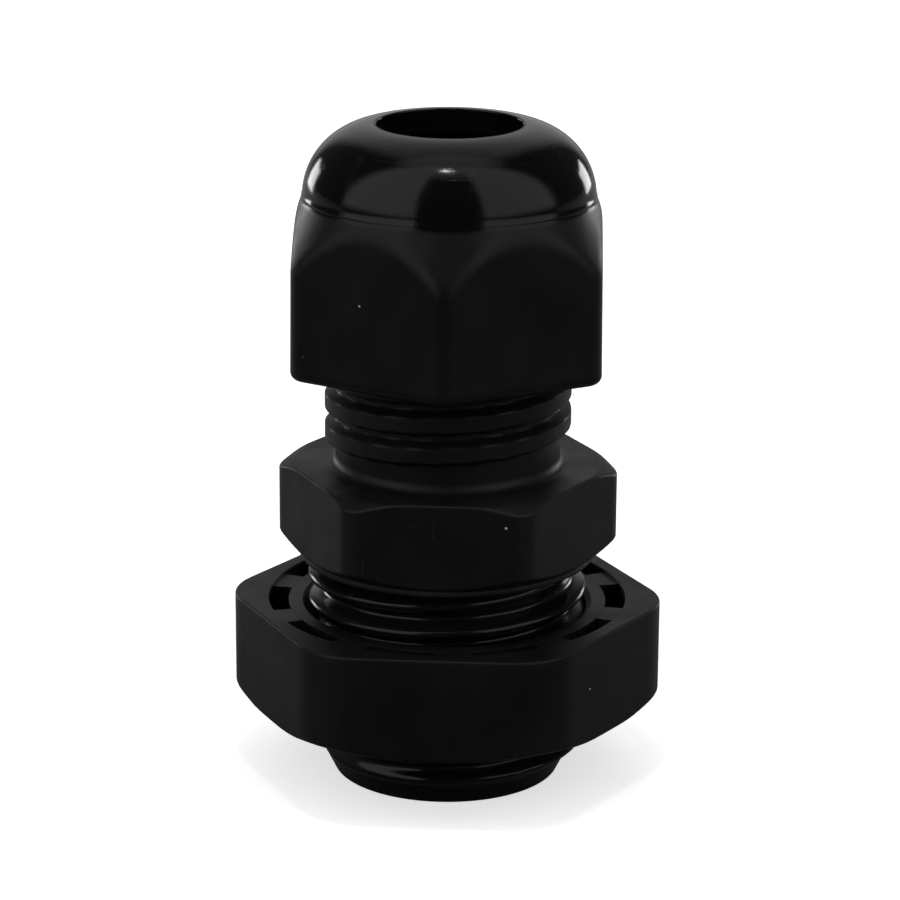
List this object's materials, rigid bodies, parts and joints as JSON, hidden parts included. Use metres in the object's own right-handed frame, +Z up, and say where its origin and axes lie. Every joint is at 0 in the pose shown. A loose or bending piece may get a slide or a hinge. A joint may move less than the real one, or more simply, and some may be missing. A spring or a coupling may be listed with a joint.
{
  "type": "cable gland",
  "caption": "Nylon cable gland with an M16 x 1.5 entry thread, hex body, domed sealing nut over a slotted clamping insert, and locknut.",
  "frame": {"origin": "centre of the free end of the entry thread, the lowest point of the part", "axes": "+Z up the axis from the entry thread to the cable opening; -Y towards the flange flat turned 4 degrees from the front"},
  "size_m": [0.0244, 0.023, 0.038],
  "materials": {
    "nylon_body": "satin black nylon",
    "nylon_nut": "semi-gloss black nylon with a glossy dome",
    "nylon_locknut": "satin black nylon",
    "nylon_claw": "matt black nylon",
    "seal_rubber": "matt black rubber",
    "gasket_rubber": "matt black rubber"
  },
  "bodies": {
    "gland_body": {"gland_body": "nylon_body"},
    "claw_and_seal": {"clamping_claw": "nylon_claw", "seal_sleeve": "seal_rubber"},
    "sealing_nut": {"sealing_nut": "nylon_nut"},
    "flange_gasket": {"flange_gasket": "gasket_rubber"},
    "locknut": {"locknut": "nylon_locknut"}
  },
  "joints": [
    {"name": "claw_travel", "type": "slide", "parent": "gland_body", "child": "claw_and_seal", "axis": [0, 0, 1], "range_m": [-0.00578, 0.00333]},
    {"name": "sealing_nut_turn", "type": "hinge", "parent": "claw_and_seal", "child": "sealing_nut", "pos_m": [0, 0, 0], "axis": [0, 0, 1], "range_deg": [-1188, 684]},
    {"name": "locknut_turn", "type": "hinge", "parent": "gland_body", "child": "flange_gasket", "pos_m": [0, 0, 0], "axis": [0, 0, 1], "range_deg": [-1080, 576]},
    {"name": "locknut_travel", "type": "slide", "parent": "flange_gasket", "child": "locknut", "axis": [0, 0, 1], "range_m": [-0.0045, 0.0024]}
  ],
  "couplings": [
    {"joint": "claw_travel", "follows": "sealing_nut_turn", "m_per_rad": 0.00027852},
    {"joint": "locknut_travel", "follows": "locknut_turn", "m_per_rad": 0.00023873}
  ]
}
